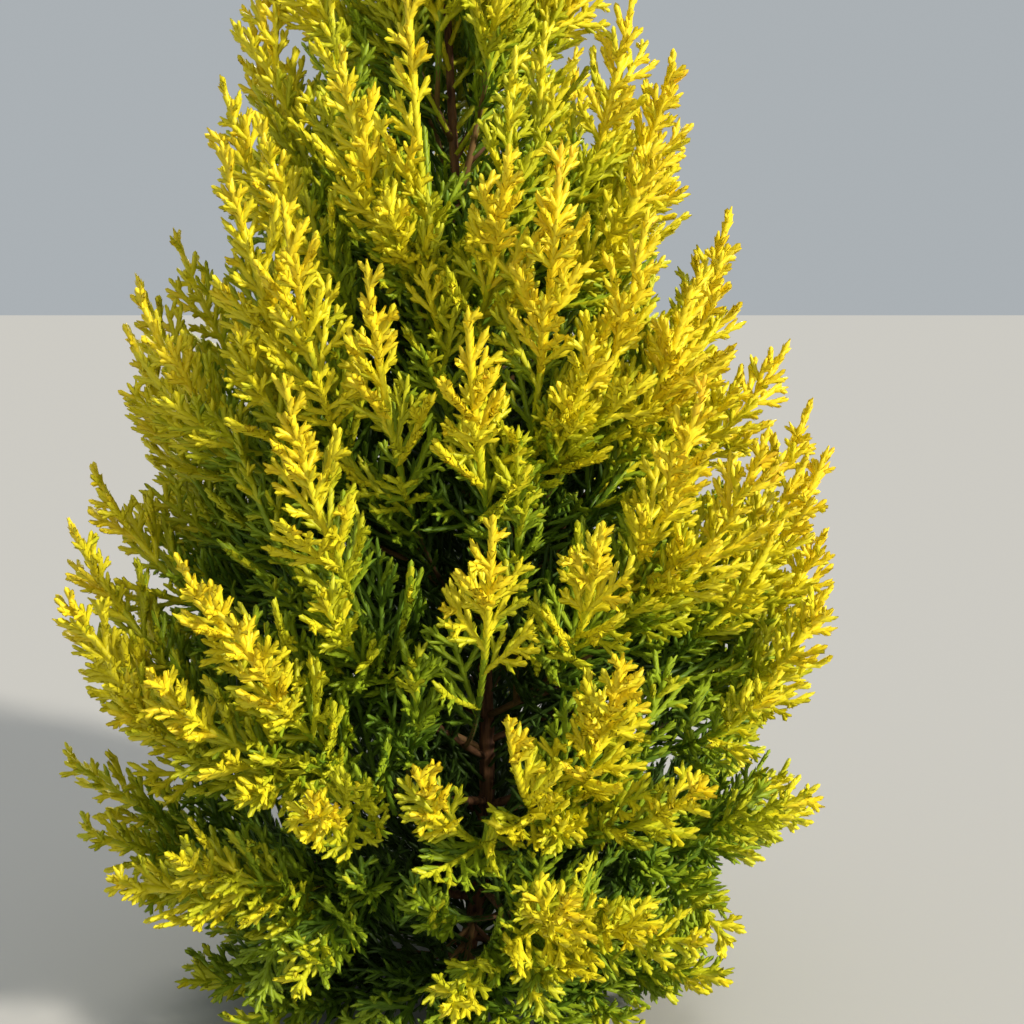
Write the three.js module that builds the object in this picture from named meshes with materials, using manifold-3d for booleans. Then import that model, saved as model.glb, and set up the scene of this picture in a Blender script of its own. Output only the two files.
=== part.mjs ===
// A young golden cypress, rooted in level ground: one slim trunk, fourteen boughs, and feathery plumes of
// scale-leaved shoots that rise round it to a pointed top. Millimetres, +Z up, the origin at the middle of
// the flat cut under the trunk. The photograph is taken from the side of -Y, with +X on its right.
import * as THREE from "three";
import { mergeVertices } from "three/addons/utils/BufferGeometryUtils.js";
import Module from "manifold-3d";

const wasm = await Module();
wasm.setup();

// The whole tree
const CROWN_HEIGHT = 760;
const CROWN_REACH = 188;
const GAP = 0.3;
const GROUND_CLEARANCE = 2;

// The crown and each plume swell from a foot to a widest place and fall to a point
const CROWN_SHAPE = { widest: 0.23, fall: 1.8, foot: 0.08 };
const PLUME_SHAPE = { widest: 0.3, fall: 1.0, foot: 0.15 };

// Trunk
const TRUNK_HEIGHT = 640;
const TRUNK_RADIUS = 4.7;
const TRUNK_TIP_RADIUS = 0.9;
const FLARE = 3.6;
const FLARE_HEIGHT = 10;
const BOW = 18;
const BOW_HEIGHT = 130;
const LEAN = 8;
const SWAY = 4;
const TRUNK_SIDES = 10;
const TRUNK_STEPS = 12;
const TRUNK_RING_CROWDING = 1.6;

// Boughs and the stems of the plumes
const BOUGH_SHARE = 0.26;
const BOUGH_RADIUS = 2.3;
const BOUGH_TIP_RADIUS = 1.6;
const BOUGH_SIDES = 5;
const BOUGH_STEPS = 4;
const STEM_SHARE = 0.031;
const STEM_TIP_RADIUS = 0.6;
const STEM_SIDES = 4;
const STEM_STEPS = 5;
const ELBOW_OUT = 0.76;
const ELBOW_UP = 0.32;

// Each tier of plumes: the height of its tips, how far they rise from the trunk, how many there are, the
// bearing of the first (degrees from +X towards +Y), half the width of a plume, its fronds and its colour.
// Boughs carry the tiers named below
const TIERS = [
  { tier: "skirt", tip: 52, rise: 20, count: 6, turn: 208, spread: 46, fronds: 6, shade: "lime" },
  { tier: "low", tip: 126, rise: 66, count: 7, turn: 182, spread: 46, fronds: 6, shade: "lime" },
  { tier: "wide", tip: 228, rise: 142, count: 7, turn: 294, spread: 48, fronds: 7, shade: "gold" },
  { tier: "middle", tip: 314, rise: 182, count: 6, turn: 245, spread: 48, fronds: 7, shade: "gold" },
  { tier: "upper", tip: 398, rise: 198, count: 6, turn: 288, spread: 44, fronds: 7, shade: "gold" },
  { tier: "high", tip: 482, rise: 194, count: 5, turn: 265, spread: 40, fronds: 6, shade: "gold" },
  { tier: "neck", tip: 568, rise: 170, count: 4, turn: 310, spread: 34, fronds: 6, shade: "gold" },
  { tier: "crest", tip: 645, rise: 128, count: 3, turn: 250, spread: 27, fronds: 5, shade: "gold" },
];
const BOUGH_TIERS = ["low", "wide"];
const LEADER = { name: "leader", spread: 20, fronds: 6, shade: "gold" };
const BEARING_JITTER = 12;
const TIP_JITTER = 44;
const REACH_LEAST = 0.96;
const REACH_MOST = 1.04;
const FOOT_STAGGER = 34;
const LOWEST_FOOT = 16;
const GOLDEN_RATIO = 0.618;

// The stem of a plume swells into its dense middle
const CORE_SHAPE = { widest: 0.35, fall: 1.0, foot: 0 };
const CORE_FROM = 0.12;
const CORE_SHARE = 0.3;

// Fronds: flat blades that stand for sprays of shoots, with a finger on either side, the left one higher;
// a finger's tip and the notch above it are in shares of the frond's length
const FROND_START = 0.16;
const FROND_END = 0.95;
const GOLDEN_ANGLE = 137.5;
const FROND_ROOT = 0.6;
const FROND_SPLAY = 38;
const FROND_LIFT = 0.25;
const FROND_THICKNESS = 2.4;
const FROND_ROOM = 1.5;
const STALK = 0.05;
const RIGHT_FINGER = { tip: [0.33, 0.6], notch: [0.14, 0.56] };
const LEFT_FINGER = { tip: [-0.29, 0.8], notch: [-0.11, 0.7] };
const CUTS_BACK = [1, 0.86, 0.72, 0.58, 0.46];
const AXIS_SAMPLES = 40;
const UP = new THREE.Vector3(0, 0, 1);

const bark = new THREE.MeshStandardMaterial({ color: 0x6e3f22, roughness: 0.9, metalness: 0 });
const boughBark = new THREE.MeshStandardMaterial({ color: 0x7a4a24, roughness: 0.85, metalness: 0 });
const foliage = {
  gold: new THREE.MeshStandardMaterial({ color: 0xe0cf22, roughness: 0.6, metalness: 0 }),
  lime: new THREE.MeshStandardMaterial({ color: 0xa9b820, roughness: 0.6, metalness: 0 }),
};

// A number from 0 to 1 that belongs to the pair a, b, and is the same each time
function chance(a, b) {
  const scattered = Math.sin(a * 12.9898 + b * 78.233) * 43758.5453;
  return scattered - Math.floor(scattered);
}

// How wide a swelling shape is at the share u of its length, as a share of its widest
function swell(u, { widest, fall, foot }) {
  const rise = (fall * (widest + foot)) / (1 - widest);
  return (Math.max(1 - u, 0) / (1 - widest)) ** fall * ((u + foot) / (widest + foot)) ** rise;
}

function crownReach(height) {
  return CROWN_REACH * swell(height / CROWN_HEIGHT, CROWN_SHAPE);
}

// The middle of the trunk at a height: it bows to +X low down, comes back and leans a little the other way
function trunkCentre(height) {
  const bend = height / BOW_HEIGHT;
  const x = BOW * bend * Math.exp(1 - bend) - (LEAN * height) / CROWN_HEIGHT;
  const y = SWAY * Math.sin((height / CROWN_HEIGHT) * 2 * Math.PI);
  return new THREE.Vector3(x, y, height);
}

function trunkRadius(height) {
  const taper = THREE.MathUtils.lerp(TRUNK_RADIUS, TRUNK_TIP_RADIUS, (height / TRUNK_HEIGHT) ** 0.9);
  return taper + FLARE * Math.exp(-height / FLARE_HEIGHT);
}

function solidOf(geometry) {
  const bare = geometry.clone();
  bare.deleteAttribute("normal");
  bare.deleteAttribute("uv");
  const merged = mergeVertices(bare, 1e-4);
  const vertProperties = merged.attributes.position.array;
  const triVerts = new Uint32Array(merged.index.array);
  return new wasm.Manifold(new wasm.Mesh({ numProp: 3, vertProperties, triVerts }));
}

// A tapering limb: a cylinder whose rings are carried to the given centres, directions and radii
function limb(rings, sides) {
  const steps = rings.length - 1;
  const shape = new THREE.CylinderGeometry(1, 1, 1, sides, steps);
  const corners = shape.attributes.position;
  for (let i = 0; i < corners.count; i++) {
    const ring = rings[Math.round((corners.getY(i) + 0.5) * steps)];
    const side = new THREE.Vector3().crossVectors(ring.along, ring.front);
    const corner = ring.centre.clone();
    corner.addScaledVector(side, corners.getX(i) * ring.radius);
    corner.addScaledVector(ring.front, corners.getZ(i) * ring.radius);
    corners.setXYZ(i, corner.x, corner.y, corner.z);
  }
  return solidOf(shape);
}

// A direction square to another one, level where that is possible
function squareTo(direction) {
  const level = new THREE.Vector3().crossVectors(UP, direction);
  return level.length() > 0.05 ? level.normalize() : new THREE.Vector3(1, 0, 0);
}

// Rings along the stretch of a curve from one share of its length to another
function ringsAlong(curve, from, to, steps, radiusAt) {
  const rings = [];
  for (let i = 0; i <= steps; i++) {
    const share = THREE.MathUtils.lerp(from, to, i / steps);
    const centre = curve.getPointAt(share);
    const along = curve.getTangentAt(share);
    rings.push({ centre, along, front: squareTo(along), radius: radiusAt(i / steps) });
  }
  return rings;
}

function trunkSolid(extra) {
  const rings = [];
  for (let i = 0; i <= TRUNK_STEPS; i++) {
    const height = TRUNK_HEIGHT * (i / TRUNK_STEPS) ** TRUNK_RING_CROWDING;
    const radius = trunkRadius(height) + extra;
    const centre = trunkCentre(height);
    centre.z += i === TRUNK_STEPS ? extra : 0;
    rings.push({ centre, along: UP, front: new THREE.Vector3(1, 0, 0), radius });
  }
  return limb(rings, TRUNK_SIDES);
}

// The line from the trunk to a plume's tip: it leaves the trunk outwards and bends up
function plumeLine(tier, index, seed) {
  const bearing = THREE.MathUtils.degToRad(
    tier.turn + (360 * index) / tier.count + BEARING_JITTER * (chance(seed, 1) - 0.5),
  );
  const tipHeight = tier.tip + TIP_JITTER * (chance(seed, 2) - 0.5);
  const reach = crownReach(tipHeight) * THREE.MathUtils.lerp(REACH_LEAST, REACH_MOST, chance(seed, 3));
  const stagger = FOOT_STAGGER * (((index * GOLDEN_RATIO) % 1) - 0.4);
  const foot = trunkCentre(Math.max(tier.tip - tier.rise + stagger, LOWEST_FOOT));
  const tip = new THREE.Vector3(reach * Math.cos(bearing), reach * Math.sin(bearing), tipHeight);
  const elbow = foot.clone().lerp(tip, ELBOW_OUT);
  elbow.z = THREE.MathUtils.lerp(foot.z, tip.z, ELBOW_UP);
  return new THREE.QuadraticBezierCurve3(foot, elbow, tip);
}

function leaderLine() {
  const foot = trunkCentre(TRUNK_HEIGHT);
  foot.z += GAP;
  const tip = foot.clone().setZ(CROWN_HEIGHT);
  return new THREE.LineCurve3(foot, tip);
}

function samplesAlong(line, from, to) {
  const samples = [];
  for (let i = 0; i <= AXIS_SAMPLES; i++) {
    samples.push(line.getPointAt(THREE.MathUtils.lerp(from, to, i / AXIS_SAMPLES)));
  }
  return samples;
}

// All plumes, each with its middle line and the stretch of it that a bough takes
function layOut() {
  const laid = [];
  for (const tier of TIERS) {
    for (let index = 0; index < tier.count; index++) {
      laid.push({ ...tier, name: tier.tier + "_" + (index + 1), line: plumeLine(tier, index, laid.length) });
    }
  }
  laid.push({ ...LEADER, line: leaderLine() });
  laid.forEach((plume, seed) => {
    plume.seed = seed;
    plume.boughs = BOUGH_TIERS.includes(plume.tier);
    plume.start = plume.boughs ? BOUGH_SHARE : 0;
    plume.samples = samplesAlong(plume.line, plume.start, 1);
    plume.boughSamples = plume.boughs ? samplesAlong(plume.line, 0, BOUGH_SHARE) : [];
  });
  return laid;
}

const plumes = layOut();

function distanceTo(samples, point) {
  return Math.min(...samples.map((sample) => sample.distanceTo(point)));
}

// Room round a point of a plume: half the way to where the nearest other plume's space begins, or the way
// to the trunk, to a bough or to the ground where that is less
function roomAt(point, own) {
  const ownDistance = distanceTo(own.samples, point);
  let room = point.z - GROUND_CLEARANCE;
  for (const other of plumes) {
    if (other !== own) room = Math.min(room, (distanceTo(other.samples, point) - ownDistance) / 2 - GAP);
    if (other.boughs) room = Math.min(room, distanceTo(other.boughSamples, point) - BOUGH_RADIUS - GAP);
  }
  if (point.z < TRUNK_HEIGHT) {
    room = Math.min(room, point.distanceTo(trunkCentre(point.z)) - trunkRadius(point.z) - 2 * GAP);
  }
  return room;
}

// The corners of a frond's outline, from one side of its foot round its three tips to the other
const FROND_CORNERS = [
  [STALK, 0],
  RIGHT_FINGER.tip,
  RIGHT_FINGER.notch,
  [0, 1],
  LEFT_FINGER.notch,
  LEFT_FINGER.tip,
  [-STALK, 0],
].map(([x, y]) => new THREE.Vector2(x, y));

// A point of a frond, given in shares of its length
function frondPoint({ root, direction, across, length }, corner) {
  const point = root.clone().addScaledVector(direction, corner.y * length);
  return point.addScaledVector(across, corner.x * length);
}

// Whether a frond keeps to its plume's own space, at its corners and half the way to them from its foot
function frondFits(frond, own) {
  const foot = new THREE.Vector2();
  return FROND_CORNERS.slice(1, -1).every((corner) =>
    [0.5, 1].every((share) => {
      const place = foot.clone().lerp(corner, share);
      return roomAt(frondPoint(frond, place), own) > FROND_ROOM;
    }),
  );
}

function bladeSolid({ root, direction, across, length }) {
  const outline = new THREE.Shape(FROND_CORNERS.map((corner) => corner.clone().multiplyScalar(length)));
  const blade = new THREE.ExtrudeGeometry(outline, { depth: FROND_THICKNESS, bevelEnabled: false });
  blade.translate(0, 0, -FROND_THICKNESS / 2);
  const facing = new THREE.Vector3().crossVectors(across, direction);
  blade.applyMatrix4(new THREE.Matrix4().makeBasis(across, direction, facing).setPosition(root));
  return solidOf(blade);
}

// The stem's radius at a share of its length, with the plume's dense middle as far as its space allows
function stemRadius(plume, share) {
  const stem = THREE.MathUtils.lerp(STEM_SHARE * plume.spread, STEM_TIP_RADIUS, share);
  const core = Math.max((share - CORE_FROM) / (1 - CORE_FROM), 0);
  const wanted = CORE_SHARE * plume.spread * swell(core, CORE_SHAPE);
  const centre = plume.line.getPointAt(THREE.MathUtils.lerp(plume.start, 1, share));
  return stem + Math.max(Math.min(wanted, roomAt(centre, plume) - stem), 0);
}

// A frond that leaves the stem outwards, cut back as far as its space asks
function frondSolid(plume, index) {
  const along = (index + 0.5) / plume.fronds;
  const share = THREE.MathUtils.lerp(FROND_START, FROND_END, along);
  const from = THREE.MathUtils.lerp(plume.start, 1, share);
  const ahead = plume.line.getTangentAt(from);
  const turn = THREE.MathUtils.degToRad(GOLDEN_ANGLE * index + 360 * chance(plume.seed, 7));
  const outward = squareTo(ahead).applyAxisAngle(ahead, turn);
  const root = plume.line.getPointAt(from).addScaledVector(outward, FROND_ROOT * stemRadius(plume, share));
  const splay = THREE.MathUtils.degToRad(FROND_SPLAY);
  const direction = ahead.clone().multiplyScalar(Math.cos(splay)).addScaledVector(outward, Math.sin(splay));
  direction.addScaledVector(UP, FROND_LIFT).normalize();
  const across = new THREE.Vector3().crossVectors(ahead, direction).normalize();
  across.multiplyScalar(index % 2 ? 1 : -1);
  const full = (plume.spread * swell(along, PLUME_SHAPE)) / Math.sin(splay);
  for (const cut of CUTS_BACK) {
    const frond = { root, direction, across, length: full * cut };
    if (frondFits(frond, plume)) return bladeSolid(frond);
  }
  return null;
}

// A plume: one stem, swollen in the middle, with fronds all round it
function plumeSolid(plume, clearOfTrunk) {
  const from = plume.boughs ? plume.start + GAP / plume.line.getLength() : plume.start;
  const rings = ringsAlong(plume.line, from, 1, STEM_STEPS, (share) => stemRadius(plume, share));
  let joined = limb(rings, STEM_SIDES);
  for (let i = 0; i < plume.fronds; i++) {
    const frond = frondSolid(plume, i);
    if (frond) joined = joined.add(frond);
  }
  return joined.subtract(clearOfTrunk).decompose().reduce((a, b) => (b.volume() > a.volume() ? b : a));
}

function boughSolid(plume, clearOfTrunk) {
  const radius = (share) => THREE.MathUtils.lerp(BOUGH_RADIUS, BOUGH_TIP_RADIUS, share);
  const rings = ringsAlong(plume.line, 0, BOUGH_SHARE, BOUGH_STEPS, radius);
  return limb(rings, BOUGH_SIDES).subtract(clearOfTrunk);
}

function meshOf(solid, name, material) {
  const { vertProperties, triVerts } = solid.getMesh();
  const geometry = new THREE.BufferGeometry();
  geometry.setAttribute("position", new THREE.BufferAttribute(vertProperties, 3));
  geometry.setIndex(new THREE.BufferAttribute(triVerts, 1));
  geometry.computeVertexNormals();
  const mesh = new THREE.Mesh(geometry, material);
  mesh.name = name;
  return mesh;
}

function cypress() {
  const tree = new THREE.Group();
  const clearOfTrunk = trunkSolid(GAP);
  tree.add(meshOf(trunkSolid(0), "trunk", bark));
  for (const plume of plumes) {
    if (plume.boughs) tree.add(meshOf(boughSolid(plume, clearOfTrunk), "bough_" + plume.name, boughBark));
    tree.add(meshOf(plumeSolid(plume, clearOfTrunk), "foliage_" + plume.name, foliage[plume.shade]));
  }
  return tree;
}

export default cypress();
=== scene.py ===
import math

import bpy
import numpy as np
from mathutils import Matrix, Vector


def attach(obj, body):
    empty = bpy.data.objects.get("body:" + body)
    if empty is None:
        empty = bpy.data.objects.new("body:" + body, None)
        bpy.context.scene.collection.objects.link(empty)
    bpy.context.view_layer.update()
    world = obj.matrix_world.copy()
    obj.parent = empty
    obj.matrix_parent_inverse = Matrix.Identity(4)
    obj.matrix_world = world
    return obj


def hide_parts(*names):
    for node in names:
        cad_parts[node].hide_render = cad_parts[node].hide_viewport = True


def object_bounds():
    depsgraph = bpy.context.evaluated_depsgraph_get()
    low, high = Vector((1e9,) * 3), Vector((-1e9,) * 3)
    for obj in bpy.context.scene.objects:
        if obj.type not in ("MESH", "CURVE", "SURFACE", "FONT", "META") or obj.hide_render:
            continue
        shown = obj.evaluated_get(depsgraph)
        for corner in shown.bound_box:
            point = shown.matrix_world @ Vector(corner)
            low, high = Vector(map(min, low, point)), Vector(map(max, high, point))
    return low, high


# A direction counts as upright while its level part is smaller than this
UPRIGHT = 0.05
UP = np.array([0.0, 0.0, 1.0])
MM = 0.001

# The whole tree, as in the solids. A swelling shape is given by the share of its length at which it is
# widest, how steeply it falls from there to its tip, and how broad it starts
CROWN_HEIGHT = 760
CROWN_REACH = 188
CROWN_SHAPE = (0.23, 1.8, 0.08)
PLUME_SHAPE = (0.3, 1.0, 0.15)
TRUNK_HEIGHT = 640
TRUNK_RADIUS = 4.7
TRUNK_TIP_RADIUS = 0.9
TRUNK_FALL = 0.9
FLARE = 3.6
FLARE_HEIGHT = 10
BOW = 18
BOW_HEIGHT = 130
LEAN = 8
SWAY = 4
BOUGH_SHARE = 0.26
BOUGH_RADIUS = 2.3
BOUGH_TIP_RADIUS = 1.6
ELBOW_OUT = 0.76
ELBOW_UP = 0.32
LINE_POINTS = 200

# The tiers of plumes, as in the solids: the height of their tips, how far they rise, how many there are, the
# bearing of the first, half the width of a plume, and its fronds
TIERS = {
    "skirt": dict(tip=52, rise=20, count=6, turn=208, spread=46, fronds=6),
    "low": dict(tip=126, rise=66, count=7, turn=182, spread=46, fronds=6),
    "wide": dict(tip=228, rise=142, count=7, turn=294, spread=48, fronds=7),
    "middle": dict(tip=314, rise=182, count=6, turn=245, spread=48, fronds=7),
    "upper": dict(tip=398, rise=198, count=6, turn=288, spread=44, fronds=7),
    "high": dict(tip=482, rise=194, count=5, turn=265, spread=40, fronds=6),
    "neck": dict(tip=568, rise=170, count=4, turn=310, spread=34, fronds=6),
    "crest": dict(tip=645, rise=128, count=3, turn=250, spread=27, fronds=5),
}
LEADER_SPREAD = 20
LEADER_FRONDS = 6
BOUGH_TIERS = ("low", "wide")
BEARING_JITTER = 12
TIP_JITTER = 44
REACH_LEAST = 0.96
REACH_MOST = 1.04
FOOT_STAGGER = 34
FOOT_SHIFT = 0.4
LOWEST_FOOT = 16
GOLDEN_RATIO = 0.618
FROND_START = 0.16
FROND_END = 0.95
GOLDEN_ANGLE = 137.5
FROND_SPLAY = 38

# Side plumes, that leave a plume's stem low down and fill the crown round it: where they leave it, how far
# they turn as a share of the way to the next plume, how far their tips stay below its tip, and the share of
# the crown's reach that they take. A tier has the first few of them
SIDES = (
    dict(place=0.30, turn=0.25, drop=22, reach=0.98),
    dict(place=0.10, turn=0.50, drop=43, reach=0.94),
    dict(place=0.20, turn=-0.25, drop=65, reach=0.97),
    dict(place=0.40, turn=0.08, drop=80, reach=0.84),
    dict(place=0.12, turn=-0.42, drop=20, reach=0.72),
)
SIDES_OF = {"skirt": 5, "low": 5, "wide": 5, "middle": 5, "upper": 5, "high": 5, "neck": 3, "crest": 2}
SIDE_SPREAD = 0.75
SIDE_FRONDS = 5
SIDE_JITTER = 0.08
DROP_LEAST = 0.8
DROP_MOST = 1.15
LOWEST_TIP = 22
FIRST_SIDE_SEED = 1000
SIDE_SEED_STEP = 5

# Side plumes that are left out, by the plume that would carry them and their number on it, because the
# photograph looks into the shaded middle of the crown there
NOT_GROWN = (("middle_1", 0),)

# Sprays: as many for each frond of the solids, the first of them in its place
SPRAYS_EACH = 4
SPRAY_SPLAY = 39
SPRAY_LIFT = 0.16
SPRAY_TAPER = 0.42
SPRAY_LEAST = 10
SPRAY_CURL = 0.3
SPRAY_RISE = 0.1
SPRAY_GIRTH = 1.08
FILLER_LEAST = 0.6
FILLER_MOST = 0.95
WIDTH_UP_TO = 0.98
HUE_OF_SPRAY = 0.22

# The leafy stretch of a plume's stem, in pieces, of which the last few have fingers of their own
LEAFY_FROM = 0.14
LEAFY_PIECES = 12
HEAD_PIECES = 3
LEAFY_GIRTH = (1.22, 1.0)
HUE_OF_STEM = 0.1

# Green sprays on the boughs and the first stretch of a plume, also on side plumes in the tiers named here
CLAD_TIERS = ("skirt", "low")
CLAD_FROM = 0.08
CLAD_TO = 0.45
CLAD_STEP = 7.5
CLAD_LEAST = 24
CLAD_MOST = 46
CLAD_LIFT = 0.43
CLAD_CURL = 0.2
CLAD_RISE = 0.35

# Green sprays on the trunk and above its tip, inside the crown, closer to each other low down. Each belongs
# to the first tier whose tips are so far above its foot
INNER_SPRAYS = 225
INNER_CROWDING = 1.5
INNER_FROM = 12
INNER_TO = 658
INNER_SHARE = 0.56
INNER_LEAST = 10
INNER_LENGTH = (0.75, 1.1)
INNER_LIFT = (0.2, 1.3)
INNER_RISE = 0.5
INNER_BELOW_TIPS = 40
HUE_OF_INNER = 0.2

# Gaps in the crown through which the photograph shows the trunk: the heights between which it shows, how
# far shoots keep from the lines of sight on either side, how far in front of it they start to, and the
# shares of a shoot's length at which that is tested
GAPS = ((16, 50), (96, 166), (408, 468))
GAP_HALF_WIDTH = 9
GAP_DEPTH = 4
GAP_TESTS = (0.35, 0.7, 1.0)

# Branches of the sprays, and fingers on those: where the first leaves its parent, how much of the parent's
# tip stays bare, spacing, length as a share of what is left of the parent, least length, splay, roll, how far
# they bend ahead, and girth as a share of the parent's. Branches deep inside the crown have no fingers
BRANCHES = dict(
    first=0.08,
    bare=4.5,
    spacing=5.1,
    reach=0.60,
    least=4.5,
    splay=40,
    roll=46,
    curl=0.26,
    girth=0.96,
)
FINGERS = dict(
    first=0.16,
    bare=4.0,
    spacing=4.4,
    reach=0.33,
    least=3.3,
    splay=36,
    roll=60,
    curl=0.20,
    girth=0.92,
)
FINGERS_FROM = 0.3
PLACE_OF_BRANCH = (0.25, 0.75)
LENGTH_OF_BRANCH = (0.7, 1.15)
LENGTH_AT_FOOT = 0.5
FOOT_GROWTH = 2
SPLAY_JITTER = 14
BRANCH_RISE = 0.08
HUE_OF_BRANCH = 0.16

# Numbers that keep the chances of one shoot apart from those of the others
SPRAY_NUMBERS = 100
STEM_NUMBERS = (9000, 20)
INNER_NUMBERS = 20000
CLAD_NUMBERS = (30000, 40)
BRANCH_NUMBERS = (1.37, 5.11, 101.7)
PAIR_NUMBER = 1.7

# Woody stems of the plumes: how far they go, and their radii at shares of the plume's line
STEM_END = 0.55
STEM_SHARES = (0, 0.3, 0.55)
STEM_RADII = (1.8, 1.3, 0.8)
SIDE_STEM = 0.75
LEADER_STEM = 0.5
STEM_STEPS = 11
STEM_SIDES = 6

# Scale leaves in pairs that cross each other along a shoot. A leaf is a folded diamond that clasps the shoot:
# its base lies under the pair before, its tip over the next pair. Widths are shares of the shoot's radius,
# places along it are shares of the leaf's length, and normals turn so far that the shoot looks round. The
# corners of its two faces are base, left, tip and right
SHOOT_RADIUS = 1.24
PAIR_STEP = 2.7
LEAF_LENGTH = 3.95
LEAF_BASE = 0.84
LEAF_SIDE = 0.92
LEAF_TIP = 1.24
LEAF_BEHIND = 0.4
LEAF_WIDEST = 0.3
LEAF_LONGEST = 1.15
FIRST_PAIR = 0.15
LEAST_PAIRS = 2
ROUNDING = 3
TIP_ROUNDING = 0.4
LEAF_FACES = ((0, 1, 2), (0, 2, 3))

# Leaves keep above this height, and within this distance of the box round the solids
LEAF_FLOOR = 1.5
BOX_MARGIN = 12

# The last pairs of a shoot close over its tip, the last of all in full
CLOSING = (1, 0.25, 0)
CLOSED_TIP = 0.2
CLOSED_LENGTH = 0.55
CLOSED_RADIUS = 0.85

# Below this tone, towards the inside of the crown, leaves are larger and fewer. Shoots are slimmer there too
COARSE_BELOW = 0.6
COARSE_MOST = 0.8
COARSE_FLARE = 0.2
GIRTH_BY_TONE = (0.8, 1.16)

# The shades of the foliage from the shaded inside to the sunlit tips, each with the tone at which it begins.
# The tone falls with the depth in the crown and towards the ground, is higher on the sunny side, and varies
# from one shoot to the next by the widths of hue above. The plant is greener inside and golden in the sun,
# and the shades also carry painted light: the darker greens are partly painted shade deep in the crown, low
# down and away from the sun, and the yellows and amber on the sunny side are partly painted sunlight
SHADES = (
    # deep_green is the plant's inner green darkened with painted shade
    ("deep_green", 0.0, (0.05, 0.10, 0.010)),
    ("green", 0.16, (0.13, 0.23, 0.012)),
    ("lime", 0.34, (0.31, 0.42, 0.015)),
    ("yellow_lime", 0.52, (0.60, 0.61, 0.016)),
    ("yellow", 0.68, (0.82, 0.73, 0.018)),
    ("gold", 0.88, (0.90, 0.72, 0.018)),
    ("amber", 1.16, (0.92, 0.63, 0.02)),
)
OUTER_TONE = 1.05
# Deeper in the crown the leaves turn greener, as the plant does, and darker as painted shade
DEPTH_OF_COLOUR = 112
# On the sunny side the leaves turn yellower, on the far side greener and darker: partly the plant's own
# colour where the sun reaches it, partly painted sunlight and painted shade
SUNNY_SIDE = (0.92, -0.39)
SUNNY_TONE = 0.17
# Low down the leaves turn greener and darker, partly painted shade under the crown
LOW_DARKENING = 0.42
LOW_HEIGHT = 260
PLACE_OF_TONE = 0.8
LEAF_SURFACE = dict(roughness=0.5, specular=0.35)

# Bark, its fissures cut into the mesh: in two sets, that wander round the limb in waves of these widths and
# numbers, with a fine grain over them. Depths are shares of the limb's radius
TRUNK_RINGS = 260
TRUNK_SIDES = 28
BOUGH_RINGS = 24
BOUGH_SIDES = 12
FISSURES = (4, 7)
FISSURE_WAVES = ((0.5, 21), (0.3, 47))
FISSURE_DEPTH = 0.12
GRAIN = 3
GRAIN_TWIST = 400
GRAIN_DEPTH = 0.02

# The bark's colours in its cracks and on its flakes, the noise that tells them apart, and how far the flakes
# stand out, in metres. Twigs have plain colours
BARKS = {
    "bark_trunk": ((0.07, 0.028, 0.012), (0.33, 0.15, 0.06)),
    "bark_bough": ((0.09, 0.035, 0.014), (0.36, 0.17, 0.07)),
}
BARK_ROUGHNESS = 0.85
BARK_SCALE = (1, 1, 0.16)
FLAKE_SCALE = 420
FLAKE_DETAIL = 6
FLAKE_RAMP = (0.35, 0.68)
FLAKE_STRENGTH = 0.6
FLAKE_HEIGHT = 0.0006
TWIGS = {"twig_brown": (0.16, 0.075, 0.03), "twig_tan": (0.24, 0.13, 0.04)}
TWIG_SURFACE = dict(roughness=0.75, specular=0.5)

# The floor: in metres its width and how far it is below the cut under the trunk, and its plain colour
FLOOR_SIZE = 60
FLOOR_DROP = 0.0003
FLOOR_COLOUR = (0.48, 0.475, 0.46)
FLOOR_SURFACE = dict(roughness=1, specular=0)

# Light from far away, in the direction of its place as seen from the tree's foot, and from all round
LIGHTS = (
    dict(name="key", place=(1.8, -1.4, 1.2), softness=6, strength=4.0, colour=(1.0, 0.93, 0.82)),
    dict(name="back", place=(0.3, 1.9, 1.2), softness=25, strength=1.6, colour=(1.0, 0.97, 0.9)),
)
SKY_COLOUR = (0.88, 0.95, 1.0)
SKY_STRENGTH = 0.46

# The camera as the photograph was taken: its place, how many degrees it looks down, its lens and sensor, and
# in metres how near it sees
CAMERA_PLACE = (29, -665, 342)
CAMERA_PITCH = 8.6
LENS = 49.45
SENSOR_WIDTH = 36
CLIP_START = 0.01


def chance(a, b):
    """Numbers from 0 to 1, always the same for a thing's number a and the number b of its chance."""
    scattered = np.sin(np.asarray(a, float) * 12.9898 + b * 78.233) * 43758.5453
    return scattered - np.floor(scattered)


def swing(a, b, width):
    """Like chance, but on both sides of 0, and as wide as asked."""
    return width * (chance(a, b) - 0.5)


def mix(a, b, share):
    return a + (b - a) * share


def unit(vectors):
    return vectors / np.linalg.norm(vectors, axis=-1, keepdims=True)


def swell(u, shape):
    """How wide a swelling shape is at the share u of its length, as a share of its widest."""
    widest, fall, foot = shape
    rise = fall * (widest + foot) / (1 - widest)
    return (np.maximum(1 - u, 0) / (1 - widest)) ** fall * ((u + foot) / (widest + foot)) ** rise


def crown_reach(height):
    return CROWN_REACH * swell(height / CROWN_HEIGHT, CROWN_SHAPE)


def trunk_centre(height):
    """The middle of the trunk, which bows to +X low down, comes back and leans a little the other way."""
    height = np.asarray(height, float)
    bend = height / BOW_HEIGHT
    x = BOW * bend * np.exp(1 - bend) - LEAN * height / CROWN_HEIGHT
    y = SWAY * np.sin(height / CROWN_HEIGHT * 2 * np.pi)
    return np.stack([x, y, height], -1)


def trunk_radius(height):
    taper = mix(TRUNK_RADIUS, TRUNK_TIP_RADIUS, (height / TRUNK_HEIGHT) ** TRUNK_FALL)
    return taper + FLARE * np.exp(-height / FLARE_HEIGHT)


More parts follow.
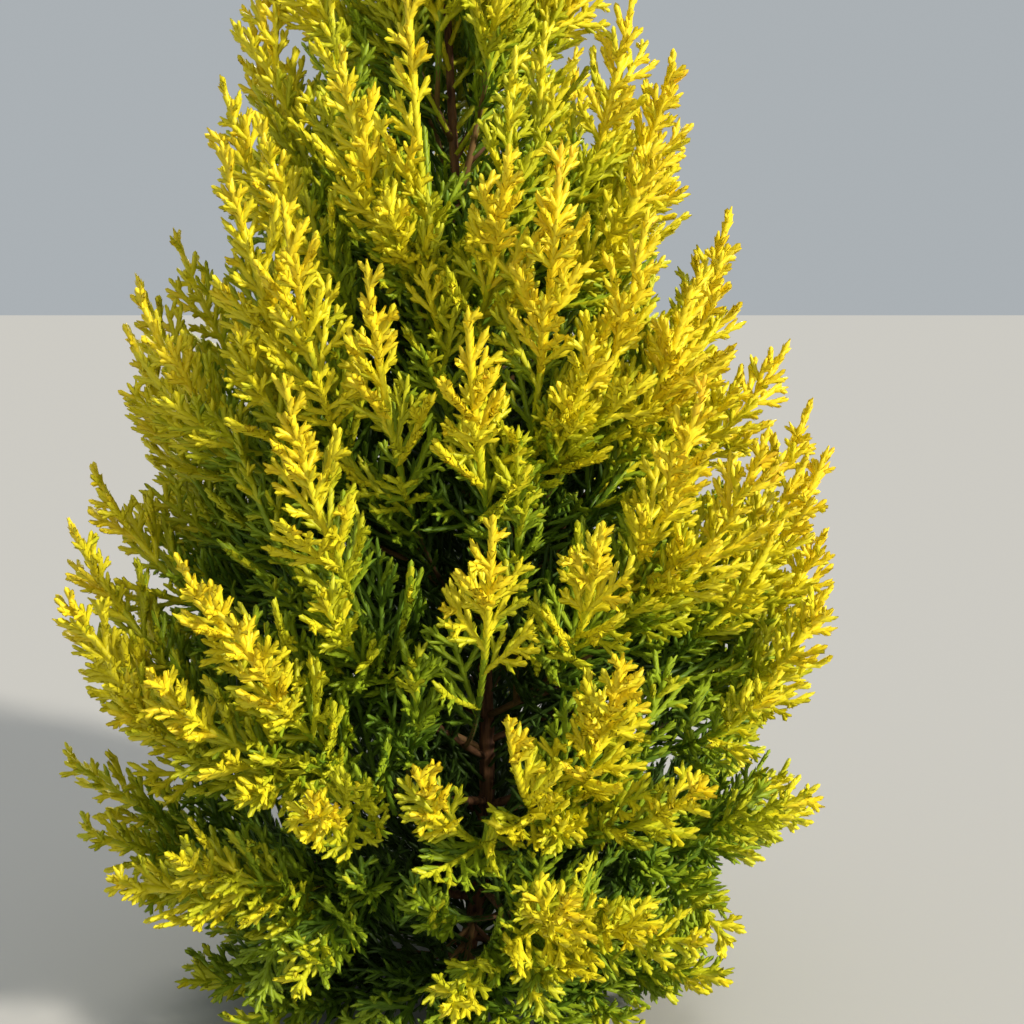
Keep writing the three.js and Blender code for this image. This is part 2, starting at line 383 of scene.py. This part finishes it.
class Line:
    """A curve given by many points and followed by shares of its length."""

    def __init__(self, points):
        self.points = points
        run = np.concatenate([[0], np.cumsum(np.linalg.norm(np.diff(points, axis=0), axis=1))])
        self.length = run[-1]
        self.shares = run / self.length

    def at(self, share):
        return np.stack([np.interp(share, self.shares, self.points[:, i]) for i in range(3)], -1)

    def ahead(self, share):
        step = 0.01
        later = np.minimum(share + step, 1)
        return unit(self.at(later) - self.at(later - 2 * step))


def rising_line(foot, bearing, reach, tip_height):
    """A line that leaves its foot outwards and bends up to its tip."""
    end = np.array([reach * math.cos(bearing), reach * math.sin(bearing), tip_height])
    elbow = mix(foot, end, ELBOW_OUT)
    elbow[2] = mix(foot[2], end[2], ELBOW_UP)
    t = np.linspace(0, 1, LINE_POINTS)[:, None]
    return Line((1 - t) ** 2 * foot + 2 * t * (1 - t) * elbow + t * t * end)


def plume_of(tier, index, seed):
    """A plume of a tier, from the trunk to its tip."""
    shape = TIERS[tier]
    bearing = math.radians(shape["turn"] + 360 * index / shape["count"] + swing(seed, 1, BEARING_JITTER))
    tip_height = shape["tip"] + swing(seed, 2, TIP_JITTER)
    reach = crown_reach(tip_height) * mix(REACH_LEAST, REACH_MOST, chance(seed, 3))
    stagger = FOOT_STAGGER * ((index * GOLDEN_RATIO) % 1 - FOOT_SHIFT)
    foot = trunk_centre(max(shape["tip"] - shape["rise"] + stagger, LOWEST_FOOT))
    return dict(
        tier=tier,
        node=f"{tier}_{index + 1}",
        seed=seed,
        line=rising_line(foot, bearing, reach, tip_height),
        start=BOUGH_SHARE if tier in BOUGH_TIERS else 0,
        spread=shape["spread"],
        fronds=shape["fronds"],
        stem=1,
        clad=True,
        bearing=bearing,
        sector=math.radians(360 / shape["count"]),
    )


def side_plumes_of(plume):
    """The side plumes of a plume, turned one way round or the other."""
    turned = 1 if chance(plume["seed"], 9) < 0.5 else -1
    tip = plume["line"].at(1)
    made = []
    for number, side in enumerate(SIDES[: SIDES_OF[plume["tier"]]]):
        if (plume["node"], number) in NOT_GROWN:
            continue
        seed = FIRST_SIDE_SEED + SIDE_SEED_STEP * plume["seed"] + number
        bearing = plume["bearing"] + plume["sector"] * turned * (side["turn"] + swing(seed, 1, SIDE_JITTER))
        tip_height = max(tip[2] - side["drop"] * mix(DROP_LEAST, DROP_MOST, chance(seed, 2)), LOWEST_TIP)
        reach = crown_reach(tip_height) * side["reach"] * mix(REACH_LEAST, REACH_MOST, chance(seed, 3))
        foot = plume["line"].at(mix(plume["start"], 1, side["place"]))
        made.append(
            dict(
                plume,
                seed=seed,
                line=rising_line(foot, bearing, reach, tip_height),
                start=0,
                spread=plume["spread"] * SIDE_SPREAD,
                fronds=SIDE_FRONDS,
                stem=SIDE_STEM,
                clad=plume["tier"] in CLAD_TIERS,
            )
        )
    return made


def leader_of(seed):
    """The plume that carries the trunk on, straight up to the tree's tip."""
    foot = trunk_centre(TRUNK_HEIGHT)
    return dict(
        tier="leader",
        node="leader",
        seed=seed,
        line=Line(np.linspace(foot, [foot[0], foot[1], CROWN_HEIGHT], LINE_POINTS)),
        start=0,
        spread=LEADER_SPREAD,
        fronds=LEADER_FRONDS,
        stem=LEADER_STEM,
        clad=True,
    )


def lay_out():
    """All plumes: those of the solids in their order, then the side plumes."""
    laid = []
    for tier, shape in TIERS.items():
        for index in range(shape["count"]):
            laid.append(plume_of(tier, index, len(laid)))
    sides = [side for plume in laid for side in side_plumes_of(plume)]
    return laid + [leader_of(len(laid))] + sides


class Shoots:
    """Many shoots, each bending evenly from its start. side lies in the plane in which a shoot branches."""

    FIELDS = ("start", "ahead", "side", "bend", "length", "girth", "ends", "hue", "tier", "ident")

    def __init__(self, **fields):
        for name in self.FIELDS:
            setattr(self, name, np.asarray(fields[name]))

    def __len__(self):
        return len(self.length)

    def pick(self, chosen):
        return Shoots(**{name: getattr(self, name)[chosen] for name in self.FIELDS})

    def point(self, owner, share):
        run = (share * self.length[owner])[:, None]
        return self.start[owner] + run * (self.ahead[owner] + self.bend[owner] * share[:, None] / 2)

    def all_at(self, share):
        """The point of every shoot at the same share of its length."""
        return self.point(np.arange(len(self)), np.full(len(self), share))

    def frame(self, owner, share):
        """Directions ahead, sideways and square to both."""
        ahead = unit(self.ahead[owner] + self.bend[owner] * share[:, None])
        side = self.side[owner]
        side = unit(side - ahead * np.sum(side * ahead, axis=1)[:, None])
        return ahead, side, np.cross(ahead, side)


def stacked(rows):
    """Shoots from one dictionary for each."""
    return Shoots(**{name: [row[name] for row in rows] for name in Shoots.FIELDS})


def joined(groups):
    return Shoots(**{name: np.concatenate([getattr(g, name) for g in groups]) for name in Shoots.FIELDS})


def dealt(counts):
    """For groups of the given sizes: each member's group, and its number in it."""
    owner = np.repeat(np.arange(len(counts)), counts)
    return owner, np.arange(len(owner)) - np.repeat(np.cumsum(counts) - counts, counts)


def square_to(direction):
    """A level direction square to this one, or +X where it is all but upright."""
    level = np.cross(UP, direction)
    size = np.linalg.norm(level)
    return level / size if size > UPRIGHT else np.array([1.0, 0.0, 0.0])


def outward_from(ahead, degrees):
    """A direction square to a stem, so far round it."""
    turn = math.radians(degrees)
    first_side = square_to(ahead)
    return first_side * math.cos(turn) + np.cross(ahead, first_side) * math.sin(turn)


def spray(start, direction, across, bend, length, girth, hue, tier, ident):
    """A shoot with a tip, that branches in the plane of its direction and across."""
    return dict(
        start=start,
        ahead=direction,
        side=unit(np.cross(across, direction)),
        bend=bend,
        length=length,
        girth=girth,
        ends=1.0,
        hue=hue,
        tier=tier,
        ident=float(ident),
    )


def sprays_of(plume, tier):
    """The sprays of a plume: the solids' fronds, with more of them between, all round the stem."""
    line, fronds, start, seed = plume["line"], plume["fronds"], plume["start"], plume["seed"]
    wide = math.radians(SPRAY_SPLAY)
    rows = []
    for place in range(fronds * SPRAYS_EACH):
        i, k = divmod(place, SPRAYS_EACH)
        ident = seed * SPRAY_NUMBERS + place
        along = (i + 0.5 + k / SPRAYS_EACH) / fronds
        at = mix(start, 1, mix(FROND_START, FROND_END, min(along, 1)))
        ahead = line.ahead(at)
        outward = outward_from(ahead, GOLDEN_ANGLE * i + 360 * chance(seed, 7) + 360 * k / SPRAYS_EACH)
        direction = unit(ahead * math.cos(wide) + outward * math.sin(wide) + UP * SPRAY_LIFT)
        width = plume["spread"] * swell(min(along, WIDTH_UP_TO), PLUME_SHAPE)
        left = (1 - at) * line.length
        length = min(width / math.sin(math.radians(FROND_SPLAY)), SPRAY_TAPER * left + SPRAY_LEAST)
        length *= 1 if k == 0 else mix(FILLER_LEAST, FILLER_MOST, chance(ident, 4))
        bend = (ahead - direction) * SPRAY_CURL + UP * SPRAY_RISE
        hue = swing(ident, 5, HUE_OF_SPRAY)
        rows.append(spray(line.at(at), direction, ahead, bend, length, SPRAY_GIRTH, hue, tier, ident))
    return rows


def stem_shoots(plume, tier):
    """The leafy stretch of a plume's own stem, in short lengths end to end."""
    ends = plume["line"].at(np.linspace(max(LEAFY_FROM, plume["start"]), 1, LEAFY_PIECES + 1))
    first_number, step = STEM_NUMBERS
    rows = []
    for i in range(LEAFY_PIECES):
        run = ends[i + 1] - ends[i]
        length = np.linalg.norm(run)
        rows.append(
            dict(
                start=ends[i],
                ahead=run / length,
                side=square_to(run / length),
                bend=np.zeros(3),
                length=length,
                girth=mix(*LEAFY_GIRTH, i / LEAFY_PIECES),
                ends=float(i == LEAFY_PIECES - 1),
                hue=swing(plume["seed"], 6, HUE_OF_STEM),
                tier=tier,
                ident=float(first_number + step * plume["seed"] + i),
            )
        )
    return rows


def clad_sprays(plume, tier):
    """Green sprays on the first stretch of a plume's line, along its bough and where its stem starts."""
    line, seed = plume["line"], plume["seed"]
    first_number, step = CLAD_NUMBERS
    rows = []
    for number, share in enumerate(np.arange(CLAD_FROM, CLAD_TO, CLAD_STEP / line.length)):
        ident = first_number + step * seed + number
        ahead = line.ahead(share)
        outward = outward_from(ahead, GOLDEN_ANGLE * number + 360 * chance(seed, 12))
        direction = unit(ahead + outward + UP * CLAD_LIFT)
        bend = ahead * CLAD_CURL + UP * CLAD_RISE
        length = mix(CLAD_LEAST, CLAD_MOST, chance(ident, 13))
        hue = swing(ident, 14, HUE_OF_INNER)
        rows.append(spray(line.at(share), direction, ahead, bend, length, 1.0, hue, tier, ident))
    return rows


def inner_sprays():
    """Green sprays on the trunk itself and above its tip, that close the middle of the crown."""
    rows = []
    tips = [shape["tip"] for shape in TIERS.values()]
    heights = mix(INNER_FROM, INNER_TO, (np.arange(INNER_SPRAYS) / INNER_SPRAYS) ** INNER_CROWDING)
    for number, height in enumerate(heights):
        turn = math.radians(GOLDEN_ANGLE * number)
        outward = np.array([math.cos(turn), math.sin(turn), 0])
        direction = unit(outward + UP * mix(*INNER_LIFT, chance(number, 31)))
        tier = min(int(np.searchsorted(tips, height + INNER_BELOW_TIPS, side="right")), len(tips) - 1)
        start = trunk_centre(min(height, TRUNK_HEIGHT)) + UP * max(height - TRUNK_HEIGHT, 0)
        length = INNER_SHARE * crown_reach(height) * mix(*INNER_LENGTH, chance(number, 32)) + INNER_LEAST
        hue = swing(number, 33, HUE_OF_INNER)
        ident = INNER_NUMBERS + number
        rows.append(spray(start, direction, UP, UP * INNER_RISE, length, 1.0, hue, tier, ident))
    return rows


def side_shoots(parents, kind, first, bare, spacing, reach, least, splay, roll, curl, girth):
    """Shoots that leave their parents left and right in turn, shorter towards the parent's tip."""
    stretch = np.maximum(parents.length * (1 - first) - bare, 0)
    counts = np.floor(stretch / spacing + 0.5).astype(int)
    owner, order = dealt(counts)
    by_parent, by_order, by_kind = BRANCH_NUMBERS
    ident = parents.ident[owner] * by_parent + order * by_order + kind * by_kind
    place = (order + mix(*PLACE_OF_BRANCH, chance(ident, 1))) / counts[owner]
    share = first + place * (stretch / parents.length)[owner]
    left = (1 - share) * parents.length[owner]
    length = reach * left * np.minimum(LENGTH_AT_FOOT + FOOT_GROWTH * share, 1) + least
    length *= mix(*LENGTH_OF_BRANCH, chance(ident, 2))
    ahead, side, facing = parents.frame(owner, share)
    turn = np.radians((order % 2) * 180 + swing(ident, 3, roll))[:, None]
    outward = side * np.cos(turn) + facing * np.sin(turn)
    tilt = np.radians(splay + swing(ident, 4, SPLAY_JITTER))[:, None]
    direction = unit(ahead * np.cos(tilt) + outward * np.sin(tilt))
    return Shoots(
        start=parents.point(owner, share),
        ahead=direction,
        side=unit(np.cross(np.cross(ahead, outward), direction)),
        bend=(ahead - direction) * curl + UP * BRANCH_RISE,
        length=length,
        girth=parents.girth[owner] * girth,
        ends=np.ones(len(owner)),
        hue=parents.hue[owner] + swing(ident, 5, HUE_OF_BRANCH),
        tier=parents.tier[owner],
        ident=ident,
    )


def tone_of(shoots):
    """From 0, deep inside the crown, to about 1 at its outside, by where a shoot's outer part is. It is lower
    deep in the crown and low down and higher on the sunny side, partly the plant's own colour and partly
    painted shade and painted sunlight.
    """
    place = shoots.all_at(PLACE_OF_TONE)
    height = np.clip(place[:, 2], 1, CROWN_HEIGHT - 1)
    middle = trunk_centre(height)
    off = place[:, :2] - middle[:, :2]
    depth = crown_reach(height) - np.hypot(off[:, 0], off[:, 1])
    # The depth, low and sunny terms paint shade and sunlight into the tone, on top of the plant's own
    # colouring
    low = np.clip(1 - height / LOW_HEIGHT, 0, 1)
    sunny = off @ SUNNY_SIDE / CROWN_REACH
    return OUTER_TONE - depth / DEPTH_OF_COLOUR - LOW_DARKENING * low + SUNNY_TONE * sunny + shoots.hue


def shade_of(tone):
    begins = [begin for name, begin, colour in SHADES[1:]]
    return np.searchsorted(begins, tone, side="right")


def scale_leaves(shoots, tone, lowest, highest):
    """Pairs of leaves along every shoot: each leaf's four corners and their normals, and its shoot."""
    coarse = 1 + np.clip(COARSE_BELOW - tone, 0, COARSE_MOST)
    counts = np.maximum(np.round(shoots.length / (PAIR_STEP * coarse)), LEAST_PAIRS).astype(int)
    counts = np.where(shoots.ends > 0, counts, counts + counts % 2)
    owner, order = dealt(counts)
    share = (order + FIRST_PAIR) / counts[owner]
    centre = shoots.point(owner, share)
    ahead, side, facing = shoots.frame(owner, share)
    from_tip = np.minimum(counts[owner] - 1 - order, len(CLOSING) - 1)
    closing = shoots.ends[owner] * np.choose(from_tip, CLOSING)
    radius = SHOOT_RADIUS * shoots.girth[owner] * mix(1, CLOSED_RADIUS, closing)
    radius = (radius * mix(*GIRTH_BY_TONE, np.clip(tone[owner], 0, 1)))[:, None]
    stretch = np.maximum(coarse, shoots.length / counts / PAIR_STEP)[owner]
    longer = chance(order * PAIR_NUMBER + shoots.ident[owner], 8)
    length = LEAF_LENGTH * stretch * mix(1, LEAF_LONGEST, longer)
    reach = (length * mix(1, CLOSED_LENGTH, closing))[:, None]
    length = length[:, None]
    flare = (mix(LEAF_TIP, CLOSED_TIP, closing) + COARSE_FLARE * (coarse[owner] - 1))[:, None]
    first_out = np.where((order % 2)[:, None] == 0, side, facing)
    corners = []
    normals = []
    for out in (first_out, -first_out):
        across = np.cross(ahead, out)
        base = centre + out * radius * LEAF_BASE - ahead * length * LEAF_BEHIND
        tip = centre + out * radius * flare + ahead * reach
        left = centre + across * radius * LEAF_SIDE + ahead * length * LEAF_WIDEST
        right = centre - across * radius * LEAF_SIDE + ahead * length * LEAF_WIDEST
        left_normal = unit(out + across * ROUNDING)
        tip_normal = unit(out + ahead * TIP_ROUNDING)
        right_normal = unit(out - across * ROUNDING)
        corners.append(np.stack([base, left, tip, right], 1))
        normals.append(np.stack([out, left_normal, tip_normal, right_normal], 1))
    corners = np.concatenate(corners)
    low, high = corners.min(1), corners.max(1)
    kept = (low[:, 2] > LEAF_FLOOR) & np.all(low > lowest, 1) & np.all(high < highest, 1)
    return corners[kept], np.concatenate(normals)[kept], np.concatenate([owner, owner])[kept]


def mesh_piece(name, corners, faces, slots, materials, nodes, normals=None):
    """A mesh of triangles in millimetres, made into a piece that stands for CAD nodes."""
    mesh = bpy.data.meshes.new(name)
    mesh.vertices.add(len(corners))
    mesh.vertices.foreach_set("co", (corners * MM).astype(np.float32).ravel())
    mesh.loops.add(faces.size)
    mesh.loops.foreach_set("vertex_index", faces.astype(np.int32).ravel())
    mesh.polygons.add(len(faces))
    mesh.polygons.foreach_set("loop_start", np.arange(0, faces.size, 3, dtype=np.int32))
    mesh.polygons.foreach_set("material_index", np.asarray(slots, np.int32))
    mesh.polygons.foreach_set("use_smooth", np.ones(len(faces), bool))
    mesh.update(calc_edges=True)
    if normals is not None:
        mesh.normals_split_custom_set_from_vertices(normals.astype(np.float32))
    for material in materials:
        mesh.materials.append(material)
    piece = bpy.data.objects.new(name, mesh)
    bpy.context.scene.collection.objects.link(piece)
    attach(piece, "root")
    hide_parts(*nodes)


def tube(points, radii, sides, fissured=False, level=False):
    """A closed tube through points, as corners and faces. level keeps its rings level."""
    count = len(points)
    ahead = np.tile(UP, (count, 1)) if level else unit(np.gradient(points, axis=0))
    front = square_to(unit(points[-1] - points[0]))
    front = unit(front - ahead * (ahead @ front)[:, None])
    across = np.cross(ahead, front)
    angle = np.arange(sides) / sides * 2 * np.pi
    reach = np.asarray(radii)[:, None] * (fissures(count, angle) if fissured else np.ones((1, sides)))
    around = front[:, None] * np.cos(angle)[None, :, None] + across[:, None] * np.sin(angle)[None, :, None]
    ring = points[:, None] + reach[:, :, None] * around
    corners = np.concatenate([ring.reshape(-1, 3), points[:1], points[-1:]])
    here = np.arange(sides)
    beside = (here + 1) % sides
    faces = []
    for low in range(0, (count - 1) * sides, sides):
        high = low + sides
        faces.append(np.stack([low + here, low + beside, high + beside], 1))
        faces.append(np.stack([low + here, high + beside, high + here], 1))
    bottom, top = count * sides, count * sides + 1
    last = (count - 1) * sides
    faces.append(np.stack([beside, here, np.full(sides, bottom)], 1))
    faces.append(np.stack([last + here, last + beside, np.full(sides, top)], 1))
    return corners, np.concatenate(faces)


def fissures(count, angle):
    """Long shallow fissures that wander round a limb, as shares of its radius."""
    height = np.linspace(0, 1, count)[:, None]
    wander = angle + sum(width * np.sin(height * number) for width, number in FISSURE_WAVES)
    straight, twisted = (np.abs(np.sin(wander * number)) for number in FISSURES)
    grain = np.sin(height * GRAIN_TWIST + angle * GRAIN)
    return 1 - FISSURE_DEPTH * (1 - (straight + twisted) / 2) + GRAIN_DEPTH * grain


def merged(parts):
    """Several meshes as one."""
    corners, faces, first = [], [], 0
    for part_corners, part_faces in parts:
        corners.append(part_corners)
        faces.append(part_faces + first)
        first += len(part_corners)
    return np.concatenate(corners), np.concatenate(faces)


def plain_material(name, colour, roughness, specular):
    """A plain base colour, for leaves, twigs and the floor."""
    material = bpy.data.materials.new(name)
    material.use_nodes = True
    shader = material.node_tree.nodes["Principled BSDF"]
    shader.inputs["Base Color"].default_value = (*colour, 1)
    shader.inputs["Roughness"].default_value = roughness
    shader.inputs["Specular IOR Level"].default_value = specular
    return material


def bark_material(name):
    """Bark in upright flakes, dark in its cracks."""
    material = bpy.data.materials.new(name)
    material.use_nodes = True
    nodes, links = material.node_tree.nodes, material.node_tree.links
    shader = nodes["Principled BSDF"]
    shader.inputs["Roughness"].default_value = BARK_ROUGHNESS
    place = nodes.new("ShaderNodeTexCoord")
    stretch = nodes.new("ShaderNodeMapping")
    stretch.inputs["Scale"].default_value = BARK_SCALE
    flakes = nodes.new("ShaderNodeTexNoise")
    flakes.inputs["Scale"].default_value = FLAKE_SCALE
    flakes.inputs["Detail"].default_value = FLAKE_DETAIL
    ramp = nodes.new("ShaderNodeValToRGB")
    for stop, position, colour in zip(ramp.color_ramp.elements, FLAKE_RAMP, BARKS[name]):
        stop.position = position
        stop.color = (*colour, 1)
    bump = nodes.new("ShaderNodeBump")
    bump.inputs["Strength"].default_value = FLAKE_STRENGTH
    bump.inputs["Distance"].default_value = FLAKE_HEIGHT
    links.new(place.outputs["Object"], stretch.inputs["Vector"])
    links.new(stretch.outputs["Vector"], flakes.inputs["Vector"])
    links.new(flakes.outputs["Fac"], ramp.inputs["Fac"])
    links.new(ramp.outputs["Color"], shader.inputs["Base Color"])
    links.new(flakes.outputs["Fac"], bump.inputs["Height"])
    links.new(bump.outputs["Normal"], shader.inputs["Normal"])
    return material


def make_trunk():
    material = bark_material("bark_trunk")
    heights = np.linspace(0, TRUNK_HEIGHT, TRUNK_RINGS)
    centres = trunk_centre(heights)
    corners, faces = tube(centres, trunk_radius(heights), TRUNK_SIDES, fissured=True, level=True)
    mesh_piece("trunk_bark", corners, faces, np.zeros(len(faces)), [material], ["trunk"])


def make_boughs(plumes):
    material = bark_material("bark_bough")
    carried = [plume for plume in plumes if plume["start"]]
    radii = np.linspace(BOUGH_RADIUS, BOUGH_TIP_RADIUS, BOUGH_RINGS)
    shares = np.linspace(0, BOUGH_SHARE, BOUGH_RINGS)
    parts = [tube(plume["line"].at(shares), radii, BOUGH_SIDES, fissured=True) for plume in carried]
    corners, faces = merged(parts)
    nodes = ["bough_" + plume["node"] for plume in carried]
    mesh_piece("bough_bark", corners, faces, np.zeros(len(faces)), [material], nodes)


def make_stems(plumes):
    """The woody stems of the plumes, that end under their leaves."""
    materials = [plain_material(name, colour, **TWIG_SURFACE) for name, colour in TWIGS.items()]
    parts = []
    slots = []
    for plume in plumes:
        shares = np.linspace(plume["start"], STEM_END, STEM_STEPS)
        radii = plume["stem"] * np.interp(shares, STEM_SHARES, STEM_RADII)
        parts.append(tube(plume["line"].at(shares), radii, STEM_SIDES))
        slots.append(np.full(len(parts[-1][1]), plume["seed"] % len(materials)))
    corners, faces = merged(parts)
    mesh_piece("plume_stems", corners, faces, np.concatenate(slots), materials, [])


def clear_of_gaps(shoots):
    """Which shoots keep out of the lines of sight to the stretches of trunk that the photograph shows."""
    camera = np.array(CAMERA_PLACE)
    clear = np.ones(len(shoots), bool)
    for share in GAP_TESTS:
        place = shoots.all_at(share)
        nearer = (place[:, 1] / camera[1])[:, None]
        seen = (place - nearer * camera) / (1 - nearer)
        height = seen[:, 2]
        beside = np.abs(seen[:, 0] - trunk_centre(height)[:, 0]) < GAP_HALF_WIDTH
        before = place[:, 1] < -GAP_DEPTH
        shown = np.any([(height > low) & (height < high) for low, high in GAPS], axis=0)
        clear &= ~(shown & beside & before)
    return clear


def grow(plumes, tiers):
    """All leafy shoots of the tree: stems, sprays, their branches and the fingers on those."""
    stems = []
    heads = []
    rows = []
    for plume in plumes:
        tier = tiers.index(plume["tier"])
        rows += sprays_of(plume, tier)
        if plume["clad"]:
            rows += clad_sprays(plume, tier)
        stems += stem_shoots(plume, tier)
        heads += stems[-HEAD_PIECES:]
    rows += inner_sprays()
    sprays = stacked(rows)
    sprays = sprays.pick(clear_of_gaps(sprays))
    branches = side_shoots(joined([sprays, stacked(heads)]), 0, **BRANCHES)
    branches = branches.pick(clear_of_gaps(branches))
    fingers = side_shoots(branches.pick(tone_of(branches) > FINGERS_FROM), 1, **FINGERS)
    return joined([stacked(stems), sprays, branches, fingers])


def make_foliage(plumes, cad_box):
    """One piece for each tier, its leaves in shades dealt out by shoot."""
    materials = [plain_material("leaf_" + name, colour, **LEAF_SURFACE) for name, begin, colour in SHADES]
    tiers = [*TIERS, "leader"]
    shoots = grow(plumes, tiers)
    tone = tone_of(shoots)
    lowest, highest = np.array(cad_box) / MM
    corners, normals, owner = scale_leaves(shoots, tone, lowest - BOX_MARGIN, highest + BOX_MARGIN)
    shade = shade_of(tone)
    for number, tier in enumerate(tiers):
        chosen = shoots.tier[owner] == number
        first = np.arange(chosen.sum())[:, None, None] * corners.shape[1]
        mesh_piece(
            "leaves_" + tier,
            corners[chosen].reshape(-1, 3),
            (first + LEAF_FACES).reshape(-1, 3),
            np.repeat(shade[owner[chosen]], len(LEAF_FACES)),
            materials,
            sorted({"foliage_" + plume["node"] for plume in plumes if plume["tier"] == tier}),
            normals[chosen].reshape(-1, 3),
        )


def make_floor():
    mesh = bpy.data.meshes.new("floor")
    far = FLOOR_SIZE / 2
    mesh.from_pydata([(-far, -far, 0), (far, -far, 0), (far, far, 0), (-far, far, 0)], [], [(0, 1, 2, 3)])
    mesh.materials.append(plain_material("stage_floor", FLOOR_COLOUR, **FLOOR_SURFACE))
    floor = bpy.data.objects.new("floor", mesh)
    floor.location.z = -FLOOR_DROP
    bpy.context.scene.collection.objects.link(floor)


def make_light(name, place, softness, strength, colour):
    data = bpy.data.lights.new(name, "SUN")
    data.angle = math.radians(softness)
    data.energy = strength
    data.color = colour
    light = bpy.data.objects.new(name, data)
    light.location = place
    light.rotation_euler = Vector(place).to_track_quat("Z", "Y").to_euler()
    bpy.context.scene.collection.objects.link(light)


def make_studio():
    world = bpy.data.worlds.new("studio")
    world.use_nodes = True
    background = world.node_tree.nodes["Background"]
    background.inputs["Color"].default_value = (*SKY_COLOUR, 1)
    background.inputs["Strength"].default_value = SKY_STRENGTH
    bpy.context.scene.world = world
    for light in LIGHTS:
        make_light(**light)
    bpy.context.scene.view_settings.view_transform = "Standard"


def make_camera():
    data = bpy.data.cameras.new("camera")
    data.lens = LENS
    data.sensor_width = SENSOR_WIDTH
    data.clip_start = CLIP_START
    camera = bpy.data.objects.new("camera", data)
    camera.location = [x * MM for x in CAMERA_PLACE]
    camera.rotation_euler = (math.radians(90 - CAMERA_PITCH), 0, 0)
    bpy.context.scene.collection.objects.link(camera)
    bpy.context.scene.camera = camera


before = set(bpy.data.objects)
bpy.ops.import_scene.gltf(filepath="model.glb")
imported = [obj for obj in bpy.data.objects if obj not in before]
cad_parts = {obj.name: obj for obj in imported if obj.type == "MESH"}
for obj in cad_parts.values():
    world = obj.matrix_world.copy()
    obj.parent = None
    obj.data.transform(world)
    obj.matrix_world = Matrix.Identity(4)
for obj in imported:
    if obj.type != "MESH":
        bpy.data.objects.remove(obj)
cad_box = [list(corner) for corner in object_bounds()]

plumes = lay_out()
make_camera()
make_studio()
make_floor()
make_trunk()
make_boughs(plumes)
make_stems(plumes)
make_foliage(plumes, cad_box)
